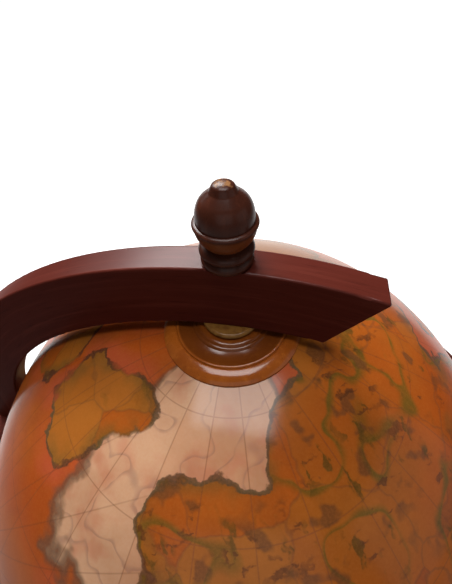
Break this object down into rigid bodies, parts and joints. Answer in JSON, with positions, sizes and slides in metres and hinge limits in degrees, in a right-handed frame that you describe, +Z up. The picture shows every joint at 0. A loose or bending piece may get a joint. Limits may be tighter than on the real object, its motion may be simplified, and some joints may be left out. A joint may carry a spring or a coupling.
{
  "type": "globe bar table",
  "caption": "Floor globe with a hinged, turning upper half on an arc arm with an acorn finial, glass rack inside, round table ring, turned legs, low shelf and casters.",
  "frame": {"origin": "on the floor below the middle of the globe", "axes": "+Z up, +X to the front where the arm's tip points, hinge of the lid at -X"},
  "size_m": [0.564, 0.564, 0.9392],
  "materials": {
    "mahogany": "deep red-brown stain under gloss lacquer",
    "caramel_wood": "turned wood, caramel stain under gloss lacquer",
    "map_shell": "printed antique-style map under gloss varnish, pressed shell",
    "bar_wood": "satin lacquer",
    "parchment": "printed and varnished",
    "cream_bush": "moulded, slightly worn",
    "felt": "green felt",
    "brass": "lightly aged",
    "steel": "zinc plated",
    "black_rubber": "matt",
    "wheel_tread": "matt"
  },
  "bodies": {
    "stand": {"table_ring": "mahogany", "lower_shelf": "mahogany", "south_drop": "mahogany", "leg_1": "mahogany", "leg_2": "mahogany", "leg_3": "mahogany", "leg_4": "mahogany", "foot_1": "mahogany", "foot_2": "mahogany", "foot_3": "mahogany", "foot_4": "mahogany", "south_boss": "caramel_wood", "lower_hemisphere": "map_shell", "lower_rim_hoop": "bar_wood", "glass_rack_base": "bar_wood", "bottle_floor": "bar_wood", "glass_rack_1": "bar_wood", "glass_rack_2": "bar_wood", "glass_rack_3": "bar_wood", "glass_rack_4": "bar_wood", "glass_rack_5": "bar_wood", "glass_rack_6": "bar_wood", "horizon_band": "parchment", "rim_dots": "felt", "bottle_mat": "felt", "hinge_table_leaf": "brass", "hinge_pin": "brass", "hinge_table_screws": "brass", "rim_screws": "brass", "caster_sockets": "brass", "south_bolt": "steel", "south_washer": "steel", "leg_studs": "steel", "rack_screws": "steel"},
    "lid_arm": {"meridian_arm": "mahogany", "arm_foot_block": "mahogany", "arm_screws": "steel", "acorn_finial": "mahogany", "pole_bush": "cream_bush", "pole_bolt": "steel", "pole_washer": "brass", "hinge_arm_leaf": "brass", "hinge_arm_screws": "brass", "stop_buttons": "black_rubber"},
    "lid_dome": {"upper_hemisphere": "map_shell", "upper_rim_hoop": "bar_wood", "pole_boss": "caramel_wood", "pole_hub": "bar_wood"},
    "caster_1": {"caster_fork_1": "brass", "caster_axle_1": "steel"},
    "wheel_1": {"caster_wheel_1": "wheel_tread"},
    "caster_2": {"caster_fork_2": "brass", "caster_axle_2": "steel"},
    "wheel_2": {"caster_wheel_2": "wheel_tread"},
    "caster_3": {"caster_fork_3": "brass", "caster_axle_3": "steel"},
    "wheel_3": {"caster_wheel_3": "wheel_tread"},
    "caster_4": {"caster_fork_4": "brass", "caster_axle_4": "steel"},
    "wheel_4": {"caster_wheel_4": "wheel_tread"}
  },
  "joints": [
    {"name": "lid_hinge", "type": "hinge", "parent": "stand", "child": "lid_arm", "pos_m": [-0.253, 0, 0.6332], "axis": [0, -1, 0], "range_deg": [0, 90]},
    {"name": "dome_spin", "type": "hinge", "parent": "lid_arm", "child": "lid_dome", "pos_m": [0, 0, 0.84], "axis": [0, 0, 1], "continuous": true},
    {"name": "caster_swivel_1", "type": "hinge", "parent": "stand", "child": "caster_1", "pos_m": [0.16829, 0.16829, 0.05], "axis": [0, 0, 1], "continuous": true},
    {"name": "caster_roll_1", "type": "hinge", "parent": "caster_1", "child": "wheel_1", "pos_m": [0.1796, 0.1796, 0.02], "axis": [-0.7071, 0.7071, 0], "continuous": true},
    {"name": "caster_swivel_2", "type": "hinge", "parent": "stand", "child": "caster_2", "pos_m": [-0.16829, 0.16829, 0.05], "axis": [0, 0, 1], "continuous": true},
    {"name": "caster_roll_2", "type": "hinge", "parent": "caster_2", "child": "wheel_2", "pos_m": [-0.1796, 0.1796, 0.02], "axis": [-0.7071, -0.7071, 0], "continuous": true},
    {"name": "caster_swivel_3", "type": "hinge", "parent": "stand", "child": "caster_3", "pos_m": [-0.16829, -0.16829, 0.05], "axis": [0, 0, 1], "continuous": true},
    {"name": "caster_roll_3", "type": "hinge", "parent": "caster_3", "child": "wheel_3", "pos_m": [-0.1796, -0.1796, 0.02], "axis": [0.7071, -0.7071, 0], "continuous": true},
    {"name": "caster_swivel_4", "type": "hinge", "parent": "stand", "child": "caster_4", "pos_m": [0.16829, -0.16829, 0.05], "axis": [0, 0, 1], "continuous": true},
    {"name": "caster_roll_4", "type": "hinge", "parent": "caster_4", "child": "wheel_4", "pos_m": [0.1796, -0.1796, 0.02], "axis": [0.7071, 0.7071, 0], "continuous": true}
  ]
}
